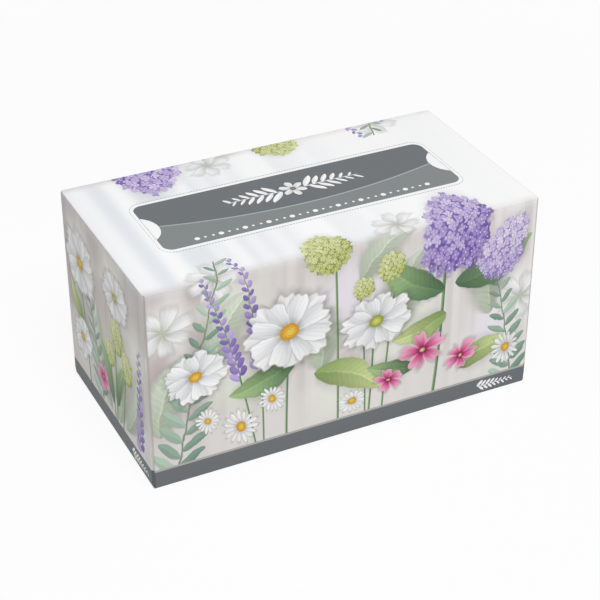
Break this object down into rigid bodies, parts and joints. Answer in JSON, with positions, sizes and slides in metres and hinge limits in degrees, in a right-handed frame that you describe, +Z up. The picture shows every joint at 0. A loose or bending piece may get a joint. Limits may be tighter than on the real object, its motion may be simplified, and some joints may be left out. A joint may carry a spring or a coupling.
{
  "type": "tissue box",
  "caption": "Sealed rectangular tissue carton of folded paperboard, with glued end flaps and a perforated tear-off panel with half-moon thumb tabs on its top.",
  "frame": {"origin": "middle of the carton's footprint on its base", "axes": "+X along the length, towards the right end; +Y from the front panel to the back panel; +Z up, towards the tear-off panel"},
  "size_m": [0.222, 0.118, 0.1155],
  "materials": {
    "printed_board": "white-lined board with a satin varnished floral print"
  },
  "bodies": {
    "root": {"carton": "printed_board"}
  },
  "joints": []
}
